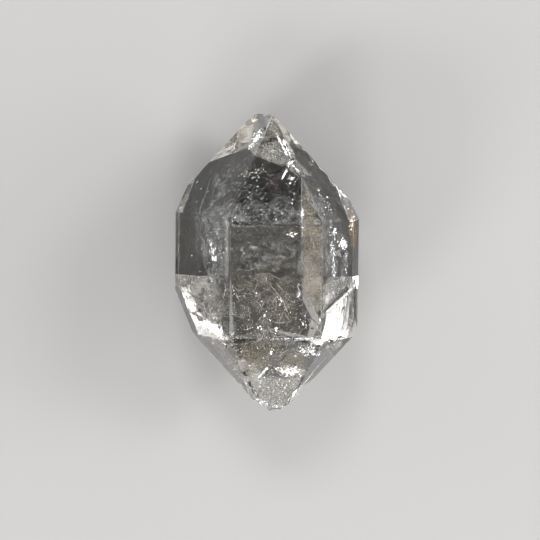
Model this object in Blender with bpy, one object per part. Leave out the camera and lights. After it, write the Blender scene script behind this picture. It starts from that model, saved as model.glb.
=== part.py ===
"""A doubly terminated quartz crystal, water clear, lying on one of its prism faces.

The crystal is one solid: six prism faces around its long axis and six pyramid faces at each
end. Every face keeps the angle that quartz always grows at. Only the distance of each face
from the axis, and where its prism part starts and ends, differ from one crystal to the next.

Units are metres, +Z is up. The long axis lies along Y, with the far tip at +Y and the near
tip at -Y. The crystal rests at z = 0, and its box is centred on x = 0, y = 0.
"""

import math
from typing import NamedTuple

import bmesh
import bpy
from mathutils import Vector

CRYSTAL_NAME = "quartz_crystal"
MM = 0.001

# Angle between the long axis and the outward direction of a pyramid face, for quartz.
PYRAMID_FACE_ANGLE = math.radians(51.8)

# The rough block that the faces are cut from, longer than the finished crystal each way.
BLOCK_SIZE = 60.0 * MM

# Corners closer than this are one corner.
WELD_DISTANCE = 0.00001

CRYSTAL_COLOUR = (0.90, 0.90, 0.88, 1.0)
CRYSTAL_ROUGHNESS = 0.03
QUARTZ_IOR = 1.544


class Sector(NamedTuple):
    """One of the six sides, with its prism face and the pyramid face at each of its ends."""

    azimuth: float  # degrees around the long axis, from +X towards +Z
    reach: float  # mm from the long axis to the prism face
    far_edge: float  # mm along Y where the prism face meets its far pyramid face
    near_edge: float  # mm along Y where it meets its near pyramid face


class Break(NamedTuple):
    """A flat broken corner: the direction it faces and its distance from the axis centre."""

    facing: tuple[float, float, float]
    reach: float  # mm


SECTORS = {
    "top": Sector(azimuth=90, reach=7.78, far_edge=4.02, near_edge=-6.33),
    "upper_left": Sector(azimuth=150, reach=6.91, far_edge=4.59, near_edge=-6.56),
    "lower_left": Sector(azimuth=210, reach=7.95, far_edge=6.96, near_edge=-2.75),
    "underside": Sector(azimuth=270, reach=7.78, far_edge=7.17, near_edge=-1.79),
    "lower_right": Sector(azimuth=330, reach=6.83, far_edge=5.81, near_edge=-5.64),
    "upper_right": Sector(azimuth=30, reach=8.16, far_edge=4.21, near_edge=-6.79),
}

# The near tip has lost its left corner, and the far tip a sliver of its point.
BREAKS = {
    "near_tip_left": Break(facing=(-0.55, -0.84, 0.05), reach=11.45),
    "near_tip_under": Break(facing=(0.10, -0.93, -0.36), reach=12.75),
    "far_tip_right": Break(facing=(0.62, 0.78, -0.05), reach=11.15),
}


def clear_scene() -> None:
    """Remove every object that the scene starts with."""
    for found in list(bpy.data.objects):
        bpy.data.objects.remove(found, do_unlink=True)


def make_collection(name: str) -> bpy.types.Collection:
    """Make a collection under the scene's own and return it."""
    made = bpy.data.collections.new(name)
    bpy.context.scene.collection.children.link(made)
    return made


def make_quartz() -> bpy.types.Material:
    """Make the clear quartz material."""
    quartz = bpy.data.materials.new("clear_quartz")
    quartz.use_nodes = True
    shader = quartz.node_tree.nodes["Principled BSDF"]
    shader.inputs["Base Color"].default_value = CRYSTAL_COLOUR
    shader.inputs["Metallic"].default_value = 0.0
    shader.inputs["Roughness"].default_value = CRYSTAL_ROUGHNESS
    shader.inputs["IOR"].default_value = QUARTZ_IOR
    shader.inputs["Transmission Weight"].default_value = 1.0
    return quartz


def cut_face(block: bmesh.types.BMesh, on_face: Vector, facing: Vector) -> None:
    """Cut the block flat through a point and close the cut with one new face."""
    parts = list(block.verts) + list(block.edges) + list(block.faces)
    cut = bmesh.ops.bisect_plane(
        block,
        geom=parts,
        dist=WELD_DISTANCE,
        plane_co=on_face,
        plane_no=facing,
        clear_outer=True,
    )
    rim = [item for item in cut["geom_cut"] if isinstance(item, bmesh.types.BMEdge)]
    bmesh.ops.contextual_create(block, geom=rim)


def cut_sector(block: bmesh.types.BMesh, sector: Sector) -> None:
    """Cut one side: its prism face, then the pyramid face at each end of it."""
    azimuth = math.radians(sector.azimuth)
    outward = Vector((math.cos(azimuth), 0.0, math.sin(azimuth)))
    prism_point = outward * sector.reach * MM
    cut_face(block, prism_point, outward)

    along = Vector((0.0, math.cos(PYRAMID_FACE_ANGLE), 0.0))
    around = outward * math.sin(PYRAMID_FACE_ANGLE)
    cut_face(block, prism_point + Vector((0.0, sector.far_edge * MM, 0.0)), around + along)
    cut_face(block, prism_point + Vector((0.0, sector.near_edge * MM, 0.0)), around - along)


def set_down(block: bmesh.types.BMesh) -> None:
    """Move the crystal so that it rests at z = 0 with its box centred over the origin."""
    lowest = Vector(min(corner.co[axis] for corner in block.verts) for axis in range(3))
    highest = Vector(max(corner.co[axis] for corner in block.verts) for axis in range(3))
    middle = (lowest + highest) / 2
    shift = Vector((-middle.x, -middle.y, -lowest.z))
    bmesh.ops.translate(block, verts=list(block.verts), vec=shift)


def make_crystal(collection: bpy.types.Collection) -> bpy.types.Object:
    """Cut the whole crystal from a block and link it to the collection."""
    block = bmesh.new()
    bmesh.ops.create_cube(block, size=BLOCK_SIZE)
    for sector in SECTORS.values():
        cut_sector(block, sector)
    for corner_break in BREAKS.values():
        facing = Vector(corner_break.facing).normalized()
        cut_face(block, facing * corner_break.reach * MM, facing)

    bmesh.ops.remove_doubles(block, verts=list(block.verts), dist=WELD_DISTANCE)
    set_down(block)
    bmesh.ops.recalc_face_normals(block, faces=list(block.faces))

    mesh = bpy.data.meshes.new(CRYSTAL_NAME)
    block.to_mesh(mesh)
    block.free()
    mesh.materials.append(make_quartz())
    crystal = bpy.data.objects.new(CRYSTAL_NAME, mesh)
    collection.objects.link(crystal)
    return crystal


def main() -> None:
    """Build the crystal in an empty scene."""
    clear_scene()
    make_crystal(make_collection("herkimer_crystal"))


main()
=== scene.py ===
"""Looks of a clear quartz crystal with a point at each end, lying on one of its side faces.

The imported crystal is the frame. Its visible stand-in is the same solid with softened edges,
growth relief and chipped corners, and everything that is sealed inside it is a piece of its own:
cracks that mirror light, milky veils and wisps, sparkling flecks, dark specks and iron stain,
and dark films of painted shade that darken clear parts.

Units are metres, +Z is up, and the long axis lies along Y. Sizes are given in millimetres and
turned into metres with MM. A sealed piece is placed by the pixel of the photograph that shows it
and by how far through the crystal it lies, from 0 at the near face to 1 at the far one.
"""

import logging
import math
import random
from dataclasses import dataclass
from enum import Enum

import bmesh
import bpy
from mathutils import Matrix, Vector, noise
from mathutils.bvhtree import BVHTree


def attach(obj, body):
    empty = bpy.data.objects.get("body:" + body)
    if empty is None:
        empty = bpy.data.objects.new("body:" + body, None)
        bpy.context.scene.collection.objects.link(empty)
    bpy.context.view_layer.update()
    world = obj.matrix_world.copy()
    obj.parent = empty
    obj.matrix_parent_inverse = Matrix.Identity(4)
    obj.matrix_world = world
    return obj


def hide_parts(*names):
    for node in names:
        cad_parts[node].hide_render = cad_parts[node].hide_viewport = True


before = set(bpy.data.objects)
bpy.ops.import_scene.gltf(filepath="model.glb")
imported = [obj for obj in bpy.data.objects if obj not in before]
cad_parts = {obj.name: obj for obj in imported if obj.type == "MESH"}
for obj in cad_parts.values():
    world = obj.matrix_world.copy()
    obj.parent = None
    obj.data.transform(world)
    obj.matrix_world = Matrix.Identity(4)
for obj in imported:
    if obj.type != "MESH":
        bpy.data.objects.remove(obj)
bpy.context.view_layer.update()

LOG = logging.getLogger("quartz_crystal")
MM = 0.001
CRYSTAL_NODE = "quartz_crystal"
QUARTZ_IOR = 1.544

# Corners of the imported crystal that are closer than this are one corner.
WELD_DISTANCE = 0.002 * MM
# Corners this near to a slice are taken as lying on it.
SLICE_TOLERANCE = 0.0001 * MM
# How far a bent ray starts past the face that it came through.
STEP_INSIDE = 0.01 * MM

# The point of the crystal's long axis that its faces were measured from, in the row frame.
AXIS_CENTRE = Vector((-0.038, 0.008, 7.78)) * MM

# Where the small lamps stand, seen from the crystal: azimuth and elevation in degrees.
LAMPS = {
    "near_lamp": (265, 40),
    "right_lamp": (18, 38),
    "left_lamp": (222, 33),
    "far_lamp": (100, 50),
}

Pixel = tuple[float, float]
Shape = bmesh.types.BMesh
Socket = bpy.types.NodeSocket
Material = bpy.types.Material
Colour = tuple[float, float, float, float]


class Slot(Enum):
    """The record's material slots, each held by a finish's recipe."""

    QUARTZ = "quartz"
    CAVITY = "cavity"
    VEIL = "veil"
    IRON_STAIN = "iron_stain"
    DARK_SPECK = "dark_speck"


def direction(azimuth: float, elevation: float) -> Vector:
    """Give the direction of an azimuth from +X towards +Y and an elevation, in degrees."""
    turn, lift = math.radians(azimuth), math.radians(elevation)
    return Vector((math.cos(turn) * math.cos(lift), math.sin(turn) * math.cos(lift), math.sin(lift)))


def smooth_step(low: float, high: float, value: float) -> float:
    """Rise smoothly from 0 at low to 1 at high."""
    share = min(max((value - low) / (high - low), 0.0), 1.0)
    return share * share * (3.0 - 2.0 * share)


class Paint:
    """A material's node tree, with short ways to add what the finishes share."""

    def __init__(self, name: str) -> None:
        """Start a material with nodes.

        Args:
            name: The material's name.
        """
        self.material = bpy.data.materials.new(name)
        self.material.use_nodes = True
        self.tree = self.material.node_tree
        self.shader = self.tree.nodes["Principled BSDF"]
        self.place = self.tree.nodes.new("ShaderNodeTexCoord").outputs["Object"]

    def add(self, kind: str, **settings: object) -> bpy.types.Node:
        """Add a node.

        Args:
            kind: The node's kind.
            settings: Settings on the node itself.

        Returns:
            The node.
        """
        node = self.tree.nodes.new(kind)
        for setting, value in settings.items():
            setattr(node, setting, value)
        return node

    def link(self, output: Socket, target: Socket) -> None:
        """Join an output to an input."""
        self.tree.links.new(output, target)

    def set(self, **values: object) -> None:
        """Set the main shader's own sockets, with underscores for the spaces in their names."""
        for socket, value in values.items():
            self.shader.inputs[socket.replace("_", " ")].default_value = value

    def cloud(
        self, grain: float, detail: float, stretch: tuple = (1.0, 1.0, 1.0), crisp: float = 0.5
    ) -> Socket:
        """Add a cloudy noise over Object coordinates.

        Args:
            grain: Size of one cloud, in mm.
            detail: How many finer layers it has.
            stretch: How many times finer it is along each axis.
            crisp: How strong each finer layer is, against the one before it.

        Returns:
            The noise value, about 0.3 to 0.7.
        """
        mapping = self.add("ShaderNodeMapping")
        mapping.inputs["Scale"].default_value = stretch
        self.link(self.place, mapping.inputs["Vector"])
        made = self.add("ShaderNodeTexNoise")
        made.inputs["Scale"].default_value = 1.0 / (grain * MM)
        made.inputs["Detail"].default_value = detail
        made.inputs["Roughness"].default_value = crisp
        self.link(mapping.outputs["Vector"], made.inputs["Vector"])
        return made.outputs["Fac"]

    def ramp(self, value: Socket, source: tuple, result: tuple) -> Socket:
        """Turn a range of one value into a range of another, held at its ends.

        Args:
            value: The value to turn.
            source: Its lowest and highest value.
            result: What those become.

        Returns:
            The turned value.
        """
        made = self.add("ShaderNodeMapRange", clamp=True)
        self.link(value, made.inputs["Value"])
        limits = zip(("From Min", "From Max", "To Min", "To Max"), (*source, *result))
        for socket, limit in limits:
            made.inputs[socket].default_value = limit
        return made.outputs["Result"]

    def combine(self, how: str, first: object, second: object) -> Socket:
        """Combine two values with a maths node.

        Args:
            how: The operation.
            first: The first value, a socket or a number.
            second: The second one, likewise.

        Returns:
            The result.
        """
        made = self.add("ShaderNodeMath", operation=how)
        for socket, value in zip(made.inputs, (first, second)):
            if isinstance(value, Socket):
                self.link(value, socket)
            else:
                socket.default_value = value
        return made.outputs["Value"]

    def bump(self, height: Socket, depth: float, onto: Socket) -> None:
        """Roughen a shader's surface by a height.

        Args:
            height: The height, 0 to 1.
            depth: What a height of 1 stands for, in mm.
            onto: The shader's Normal socket.
        """
        made = self.add("ShaderNodeBump")
        made.inputs["Strength"].default_value = 1.0
        made.inputs["Distance"].default_value = depth * MM
        self.link(height, made.inputs["Height"])
        self.link(made.outputs["Normal"], onto)


@dataclass(frozen=True)
class ClearQuartz:
    """Water-clear quartz: glossy, faintly smoky, with fine growth relief on its faces.

    Patch, hillock and striation are the sizes of their clouds in mm, and so are the depths.
    """

    patch: float = 1.6
    patch_range: tuple = (0.45, 0.75)
    roughness: tuple = (0.004, 0.03)
    hillock: float = 1.1
    hillock_depth: float = 0.006
    striation: float = 0.35
    striation_stretch: tuple = (0.12, 1.0, 0.12)
    striation_depth: float = 0.0012
    smoke: Colour = (0.80, 0.76, 0.70, 1.0)
    smoke_density: float = 14.0

    def make(self, name: str) -> Material:
        """Make the material.

        Args:
            name: The material's name.

        Returns:
            The material.
        """
        paint = Paint(name)
        paint.set(Base_Color=(1.0, 1.0, 1.0, 1.0), IOR=QUARTZ_IOR, Transmission_Weight=1.0)
        patches = paint.cloud(self.patch, detail=4.0)
        roughness = paint.ramp(patches, self.patch_range, self.roughness)
        paint.link(roughness, paint.shader.inputs["Roughness"])
        hillocks = paint.cloud(self.hillock, detail=2.0)
        lines = paint.cloud(self.striation, detail=1.0, stretch=self.striation_stretch)
        share = self.striation_depth / self.hillock_depth
        height = paint.combine("MULTIPLY_ADD", lines, share)
        paint.link(hillocks, height.node.inputs[2])
        paint.bump(height, self.hillock_depth, paint.shader.inputs["Normal"])
        absorb = paint.add("ShaderNodeVolumeAbsorption")
        absorb.inputs["Color"].default_value = self.smoke
        absorb.inputs["Density"].default_value = self.smoke_density
        output = paint.tree.nodes["Material Output"]
        paint.link(absorb.outputs["Volume"], output.inputs["Volume"])
        return paint.material


@dataclass(frozen=True)
class AirFilm:
    """Air in a crack or hollow. Its IOR is less than 1, because quartz is all around it."""

    slot: Slot = Slot.CAVITY
    roughness: float = 0.02
    ripple: float = 0.25
    ripple_depth: float = 0.01

    def make(self, name: str) -> Material:
        """Make the material.

        Args:
            name: The material's name.

        Returns:
            The material.
        """
        paint = Paint(name)
        paint.tree.nodes.remove(paint.shader)
        glass = paint.add("ShaderNodeBsdfGlass")
        glass.inputs["Color"].default_value = (1.0, 1.0, 1.0, 1.0)
        glass.inputs["Roughness"].default_value = self.roughness
        glass.inputs["IOR"].default_value = 1.0 / QUARTZ_IOR
        ripples = paint.cloud(self.ripple, detail=2.0)
        paint.bump(ripples, self.ripple_depth, glass.inputs["Normal"])
        output = paint.tree.nodes["Material Output"]
        paint.link(glass.outputs["BSDF"], output.inputs["Surface"])
        return paint.material


@dataclass(frozen=True)
class Mist:
    """A film that hides part of what is behind it: a milky veil, a bruise, a stain, or a dark film of
    painted shade.

    Its cover is the piece's own cover attribute times a cloud and a fine grain. Where the grain
    is thin, the film has the colour of its shade.
    """

    tint: Colour
    shade: Colour
    slot: Slot = Slot.VEIL
    cloud: float = 0.9
    cloud_range: tuple = (0.42, 0.66)
    grain: float = 0.06
    grain_range: tuple = (0.35, 0.62)
    thin: float = 0.5
    densest: float = 0.6
    roughness: float = 0.9

    def make(self, name: str) -> Material:
        """Make the material.

        Args:
            name: The material's name.

        Returns:
            The material.
        """
        paint = Paint(name)
        paint.set(Roughness=self.roughness, IOR=QUARTZ_IOR, Metallic=1.0)
        cover = paint.add("ShaderNodeAttribute", attribute_name="cover")
        clouds = paint.ramp(paint.cloud(self.cloud, detail=7.0, crisp=0.68), self.cloud_range, (0.0, 1.0))
        grains = paint.ramp(paint.cloud(self.grain, detail=2.0), self.grain_range, (self.thin, 1.0))
        misty = paint.combine("MULTIPLY", clouds, grains)
        covered = paint.combine("MULTIPLY", misty, cover.outputs["Fac"])
        alpha = paint.combine("MULTIPLY", covered, self.densest)
        paint.link(alpha, paint.shader.inputs["Alpha"])
        mix = paint.add("ShaderNodeMix", data_type="RGBA")
        colours = [socket for socket in mix.inputs if socket.type == "RGBA"]
        colours[0].default_value = self.shade
        colours[1].default_value = self.tint
        paint.link(grains, mix.inputs["Factor"])
        blended = [socket for socket in mix.outputs if socket.type == "RGBA"]
        paint.link(blended[0], paint.shader.inputs["Base Color"])
        return paint.material


@dataclass(frozen=True)
class DarkGrain:
    """Black tarry grains with a dull, pitted face."""

    slot: Slot = Slot.DARK_SPECK
    colour: Colour = (0.02, 0.016, 0.012, 1.0)
    pit: float = 0.08
    pit_range: tuple = (0.3, 0.7)
    pit_depth: float = 0.03
    roughness: tuple = (0.35, 0.8)

    def make(self, name: str) -> Material:
        """Make the material.

        Args:
            name: The material's name.

        Returns:
            The material.
        """
        paint = Paint(name)
        paint.set(Base_Color=self.colour, IOR=QUARTZ_IOR)
        pits = paint.cloud(self.pit, detail=3.0)
        roughness = paint.ramp(pits, self.pit_range, self.roughness)
        paint.link(roughness, paint.shader.inputs["Roughness"])
        paint.bump(pits, self.pit_depth, paint.shader.inputs["Normal"])
        return paint.material


@dataclass(frozen=True)
class MirrorFilm:
    """Air film seen at a slant, where it mirrors all the light that meets it."""

    tint: Colour
    slot: Slot = Slot.CAVITY
    patch: float = 0.12
    patch_range: tuple = (0.35, 0.65)
    roughness: tuple = (0.2, 0.35)

    def make(self, name: str) -> Material:
        """Make the material.

        Args:
            name: The material's name.

        Returns:
            The material.
        """
        paint = Paint(name)
        paint.set(Base_Color=self.tint, Metallic=1.0)
        patches = paint.cloud(self.patch, detail=2.0)
        roughness = paint.ramp(patches, self.patch_range, self.roughness)
        paint.link(roughness, paint.shader.inputs["Roughness"])
        return paint.material


def add_piece(name: str, shape: Shape, finish: Material) -> bpy.types.Object:
    """Turn a finished shape into a piece that rides with the crystal.

    Args:
        name: The piece's name.
        shape: The finished shape, which is freed.
        finish: The piece's material.

    Returns:
        The piece.
    """
    mesh = bpy.data.meshes.new(name)
    shape.to_mesh(mesh)
    shape.free()
    mesh.materials.append(finish)
    piece = bpy.data.objects.new(name, mesh)
    bpy.context.scene.collection.objects.link(piece)
    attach(piece, "root")
    LOG.info("%s: %d faces", name, len(mesh.polygons))
    return piece


def refine(shape: Shape, spacing: float, passes: int = 7) -> None:
    """Split long edges in halves, pass by pass.

    Args:
        shape: The shape, left as triangles.
        spacing: The longest edge that stays whole, in mm.
        passes: The most passes.
    """
    bmesh.ops.triangulate(shape, faces=shape.faces[:])
    for _ in range(passes):
        long_edges = [edge for edge in shape.edges if edge.calc_length() > spacing * MM]
        if not long_edges:
            break
        bmesh.ops.subdivide_edges(shape, edges=long_edges, cuts=1)
        bmesh.ops.triangulate(shape, faces=[face for face in shape.faces if len(face.verts) > 3])


def slice_up(shape: Shape, spacing: float) -> None:
    """Slice a shape's faces along all three axes, without taking anything away.

    Args:
        shape: The shape.
        spacing: The distance between slices, in mm.
    """
    for axis in range(3):
        across = [corner.co[axis] for corner in shape.verts]
        facing = Vector(float(axis == other) for other in range(3))
        count = int((max(across) - min(across)) / (spacing * MM))
        for index in range(count):
            height = min(across) + (index + 0.5) * spacing * MM
            bmesh.ops.bisect_plane(
                shape,
                geom=shape.verts[:] + shape.edges[:] + shape.faces[:],
                dist=SLICE_TOLERANCE,
                plane_co=facing * height,
                plane_no=facing,
            )


def cover_layer(shape: Shape) -> bmesh.types.BMLayerItem:
    """Give a shape the cover attribute that the misty finishes read."""
    return shape.verts.layers.float.new("cover")


def join_shapes(shapes: list) -> Shape:
    """Join several shapes into one, which keeps their cover.

    Args:
        shapes: The shapes, which are freed.

    Returns:
        The joined shape.
    """
    joined = bmesh.new()
    for shape in shapes:
        part = bpy.data.meshes.new("part")
        shape.to_mesh(part)
        shape.free()
        joined.from_mesh(part)
        bpy.data.meshes.remove(part)
    return joined


@dataclass(frozen=True)
class PhotoCamera:
    """The photograph's own viewing angle, almost straight down onto the crystal.

    Pitch, roll and yaw are in degrees, and the frame's side is in pixels.
    """

    pitch: float = 5.53
    roll: float = 1.40
    yaw: float = -0.54
    distance: float = 226.4 * MM
    pixels_per_metre: float = 10.6 / MM
    axis_seen_at: Pixel = (266.0, 262.0)
    frame_side: float = 540.0
    sensor_width: float = 36.0
    seen_from: float = 10 * MM
    seen_to: float = 10000 * MM

    def turn(self) -> Matrix:
        """Give the camera's rotation.

        Returns:
            The rotation, whose columns are the camera's right, up and backward directions.
        """
        yaw = Matrix.Rotation(math.radians(self.yaw), 3, "Z")
        pitch = Matrix.Rotation(math.radians(self.pitch), 3, "X")
        roll = Matrix.Rotation(math.radians(self.roll), 3, "Y")
        return (yaw @ pitch @ roll).transposed()

    def place(self) -> Vector:
        """Give the camera's place.

        Returns:
            The place in the row frame.
        """
        half = self.frame_side / 2
        right = (half - self.axis_seen_at[0]) / self.pixels_per_metre
        up = (self.axis_seen_at[1] - half) / self.pixels_per_metre
        return AXIS_CENTRE + self.turn() @ Vector((right, up, self.distance))

    def line_of_sight(self, pixel: Pixel) -> Vector:
        """Give the direction in which the camera sees a pixel.

        Args:
            pixel: The pixel of the photograph.

        Returns:
            The direction, of length 1.
        """
        half = self.frame_side / 2
        focal = self.distance * self.pixels_per_metre
        return (self.turn() @ Vector((pixel[0] - half, half - pixel[1], -focal))).normalized()

    def build(self) -> bpy.types.Object:
        """Make the camera and set it as the scene's own.

        Returns:
            The camera.
        """
        lens = bpy.data.cameras.new("photo_camera")
        lens.sensor_width = self.sensor_width
        lens.lens = self.distance * self.pixels_per_metre * self.sensor_width / self.frame_side
        lens.clip_start = self.seen_from
        lens.clip_end = self.seen_to
        camera = bpy.data.objects.new("photo_camera", lens)
        camera.matrix_world = Matrix.Translation(self.place()) @ self.turn().to_4x4()
        bpy.context.scene.collection.objects.link(camera)
        bpy.context.scene.camera = camera
        return camera


class Sight:
    """Finds the places inside the crystal that the photograph shows at a pixel."""

    def __init__(self, camera: PhotoCamera) -> None:
        """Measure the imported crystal.

        Args:
            camera: The photograph's camera.
        """
        self.camera = camera
        shape = bmesh.new()
        shape.from_mesh(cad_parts[CRYSTAL_NODE].data)
        bmesh.ops.remove_doubles(shape, verts=shape.verts[:], dist=WELD_DISTANCE)
        self.faces = BVHTree.FromBMesh(shape)
        shape.free()

    def surface(self, pixel: Pixel) -> tuple[Vector, Vector]:
        """Give the point of the near surface at a pixel.

        Args:
            pixel: The pixel of the photograph.

        Returns:
            The point and the way its face looks. Where the crystal is just missed, it is the
            nearest point of its outline.
        """
        seen_from = self.camera.place()
        away = self.camera.line_of_sight(pixel)
        hit, facing, _, _ = self.faces.ray_cast(seen_from, away)
        if hit is None:
            beside = seen_from + away * (AXIS_CENTRE - seen_from).dot(away)
            hit, facing, _, _ = self.faces.find_nearest(beside)
        return hit, facing

    def inside(self, pixel: Pixel, share: float) -> Vector:
        """Give the place seen at a pixel after the light has bent at the near face.

        Args:
            pixel: The pixel of the photograph.
            share: How far through the crystal, from 0 at the near face to 1 at the far one.

        Returns:
            The place in the row frame.
        """
        hit, facing = self.surface(pixel)
        away = self.camera.line_of_sight(pixel)
        cosine = -facing.dot(away)
        ratio = 1.0 / QUARTZ_IOR
        straight = math.sqrt(1.0 - ratio * ratio * (1.0 - cosine * cosine))
        bent = (away * ratio + facing * (ratio * cosine - straight)).normalized()
        _, _, _, thickness = self.faces.ray_cast(hit + bent * STEP_INSIDE, bent)
        return hit + bent * ((thickness or 0.0) * share)

    def glint(self, place: Vector) -> Vector:
        """Give the way a flat hollow has to face to mirror a lamp into the camera.

        Args:
            place: Where the hollow lies in the crystal.

        Returns:
            The hollow's facing, for light that comes and goes through the face above it, from
            the lamp that this face looks at most.
        """
        to_camera = (self.camera.place() - place).normalized()
        _, facing, _, _ = self.faces.ray_cast(place, to_camera)
        lamp = max((direction(*spot) for spot in LAMPS.values()), key=facing.dot)
        bent = []
        for outside in (to_camera, lamp):
            cosine = max(outside.dot(facing), 0.0)
            straight = math.sqrt(1.0 - (1.0 - cosine * cosine) / QUARTZ_IOR**2)
            bent.append(outside / QUARTZ_IOR + facing * (straight - cosine / QUARTZ_IOR))
        return (bent[0].normalized() + bent[1].normalized()).normalized()

    def holds(self, place: Vector, margin: float) -> bool:
        """Say whether a place lies inside the crystal, at least a margin in mm from its faces."""
        nearest, facing, _, distance = self.faces.find_nearest(place)
        return (place - nearest).dot(facing) < 0 and distance > margin * MM


@dataclass(frozen=True)
class Scoop:
    """A shell-shaped chip: a ball that bites into the surface seen at a pixel.

    The radius of the ball and the depth of its bite are in mm.
    """

    seen_at: Pixel
    radius: float
    bite: float


@dataclass
class CrystalBody:
    """The visible crystal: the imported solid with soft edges, growth relief and chips.

    Sizes are in mm. Faces that differ by less than flat_angle, in degrees, are one face, and
    only faces wider than flat_width, with no edge under flat_edge, get a rim. Each wave is a
    length and a height, and wave_sink is how far the waves lie below the face, in heights.
    """

    edge_softness: float = 0.035
    flat_angle: float = 1.0
    flat_width: float = 0.6
    flat_edge: float = 0.1
    rim: float = 0.02
    spacing: float = 0.35
    waves: tuple = ((2.6, 0.0035), (0.8, 0.0008))
    wave_sink: float = 0.5
    scoops: tuple = (
        Scoop((258, 404), 0.9, 0.16),
        Scoop((265, 407), 0.5, 0.12),
        Scoop((275, 408), 0.6, 0.10),
        Scoop((283, 405), 0.8, 0.12),
        Scoop((278, 122), 0.6, 0.03),
        Scoop((343, 194), 0.8, 0.02),
        Scoop((323, 170), 0.9, 0.03),
    )

    def build(self, sight: Sight) -> bpy.types.Object:
        """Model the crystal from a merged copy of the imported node.

        Args:
            sight: Finds the places that the photograph shows.

        Returns:
            The visible crystal.
        """
        shape = bmesh.new()
        shape.from_mesh(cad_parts[CRYSTAL_NODE].data)
        bmesh.ops.remove_doubles(shape, verts=shape.verts[:], dist=WELD_DISTANCE)
        bmesh.ops.dissolve_limit(
            shape,
            angle_limit=math.radians(self.flat_angle),
            verts=shape.verts[:],
            edges=shape.edges[:],
        )
        bmesh.ops.bevel(
            shape,
            geom=shape.edges[:],
            offset=self.edge_softness * MM,
            affect="EDGES",
            segments=2,
            profile=0.5,
            material=-1,
        )
        flats = []
        for face in shape.faces:
            shortest = min(edge.calc_length() for edge in face.edges)
            if face.calc_area() > (self.flat_width * MM) ** 2 and shortest > self.flat_edge * MM:
                flats.append(face)
        bmesh.ops.inset_individual(shape, faces=flats, thickness=self.rim * MM)
        slice_up(shape, self.spacing)
        self.add_relief(shape)
        self.chip(shape, sight)
        bmesh.ops.recalc_face_normals(shape, faces=shape.faces[:])
        for face in shape.faces:
            face.smooth = True
        piece = add_piece("crystal_body", shape, ClearQuartz().make("clear_quartz"))
        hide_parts(CRYSTAL_NODE)
        return piece

    def add_relief(self, shape: Shape) -> None:
        """Lift the faces into low, broad growth waves.

        Args:
            shape: The crystal, finely divided.
        """
        shape.normal_update()
        lifts = []
        for corner in shape.verts:
            lift = 0.0
            for length, height in self.waves:
                lift += height * (noise.noise(corner.co / (length * MM)) - self.wave_sink)
            lifts.append((corner, corner.normal * lift * MM))
        for corner, lift in lifts:
            corner.co += lift

    def chip(self, shape: Shape, sight: Sight) -> None:
        """Press each chip's ball into the surface.

        Args:
            shape: The crystal, finely divided.
            sight: Finds the places that the photograph shows.
        """
        for scoop in self.scoops:
            hit, _ = sight.surface(scoop.seen_at)
            outward = (hit - AXIS_CENTRE).normalized()
            centre = hit + outward * (scoop.radius - scoop.bite) * MM
            for corner in shape.verts:
                away = corner.co - centre
                if away.length < scoop.radius * MM:
                    corner.co = centre + away.normalized() * scoop.radius * MM


class Finish(Enum):
    """What a sealed piece is made of."""

    MILKY = "milky_veil"
    DUSTY = "dusty_film"
    CREAM = "cream_film"
    # Painted shade: a near-black film that darkens clear quartz, not a smoky colour of the crystal.
    PAINTED_SHADE = "painted_shade_film"
    TAN = "tan_film"
    ROSY = "rosy_film"
    WHITE = "white_thread"
    MIRROR = "mirror_fleck"
    GOLD = "gold_fleck"
    AIR = "air_film"
    RUST = "iron_film"
    DARK = "dark_grain"


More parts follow.
